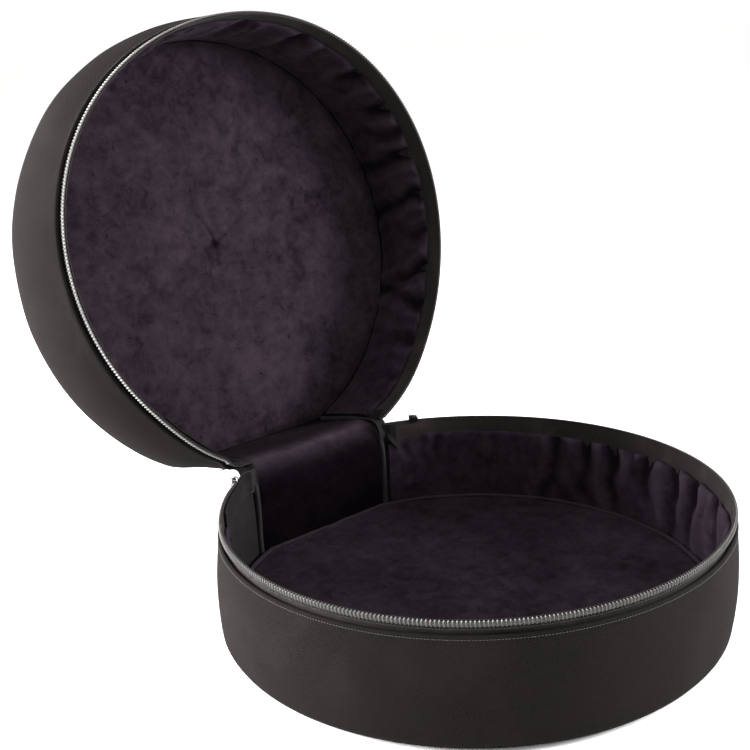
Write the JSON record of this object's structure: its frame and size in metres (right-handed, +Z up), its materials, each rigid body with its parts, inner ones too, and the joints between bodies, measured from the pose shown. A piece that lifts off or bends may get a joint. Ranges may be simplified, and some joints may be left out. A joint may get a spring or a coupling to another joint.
{
  "type": "handpan soft case",
  "caption": "Round padded clamshell soft case for a handpan, lid standing open, plush lined, with a zip round both rims and a fabric hinge spine.",
  "frame": {"origin": "centre of the flat underside of the base, on the axis of the round wall", "axes": "+Z up out of the open base, +Y towards the hinge spine at the back, -Y the front where the zip closes, +X to the right seen from the front"},
  "size_m": [0.58, 0.8094, 0.6856],
  "materials": {
    "shell_cloth": "matte",
    "foam": "matte",
    "board": "matte",
    "plush": "matte",
    "tape_cloth": "matte",
    "coil": "satin",
    "binding": "matte",
    "chrome": "polished",
    "black_metal": "satin"
  },
  "bodies": {
    "base": {"base_disc_cover": "shell_cloth", "base_disc_board": "board", "base_disc_foam": "foam", "base_disc_lining": "plush", "base_wall_cover": "shell_cloth", "base_wall_foam": "foam", "base_wall_lining": "plush", "base_gusset_left": "tape_cloth", "base_gusset_right": "tape_cloth", "base_zip_tape": "tape_cloth", "base_zip_coil": "coil", "base_spine_cover": "shell_cloth", "base_spine_foam": "foam", "base_spine_lining": "plush", "base_spine_binding_left": "binding", "base_spine_binding_right": "binding", "base_floor_piping": "binding"},
    "lid": {"lid_disc_cover": "shell_cloth", "lid_disc_board": "board", "lid_disc_foam": "foam", "lid_disc_lining": "plush", "lid_wall_cover": "shell_cloth", "lid_wall_foam": "foam", "lid_wall_lining": "plush", "lid_gusset_left": "tape_cloth", "lid_gusset_right": "tape_cloth", "lid_zip_tape": "tape_cloth", "lid_zip_coil": "coil", "lid_spine_cover": "shell_cloth", "lid_spine_foam": "foam", "lid_spine_lining": "plush", "lid_spine_binding_left": "binding", "lid_spine_binding_right": "binding"},
    "left_slider": {"left_slider": "chrome"},
    "left_pull": {"left_pull": "chrome"},
    "right_slider": {"right_slider": "black_metal"},
    "right_pull": {"right_pull": "black_metal"}
  },
  "joints": [
    {"name": "lid_hinge", "type": "hinge", "parent": "base", "child": "lid", "pos_m": [0, 0.26822, 0.14], "axis": [1, 0, 0], "range_deg": [-78, 102]},
    {"name": "left_slider_travel", "type": "hinge", "parent": "base", "child": "left_slider", "pos_m": [0, 0, 0.14], "axis": [0, 0, 1], "range_deg": [0, 146]},
    {"name": "right_slider_travel", "type": "hinge", "parent": "base", "child": "right_slider", "pos_m": [0, 0, 0.14], "axis": [0, 0, -1], "range_deg": [0, 146]},
    {"name": "left_pull_swing", "type": "hinge", "parent": "left_slider", "child": "left_pull", "pos_m": [-0.15204, 0.25304, 0.14], "axis": [0.8572, 0.515, 0], "range_deg": [0, 160]},
    {"name": "right_pull_swing", "type": "hinge", "parent": "right_slider", "child": "right_pull", "pos_m": [0.15204, 0.25304, 0.14], "axis": [0.8572, -0.515, 0], "range_deg": [0, 160]}
  ]
}
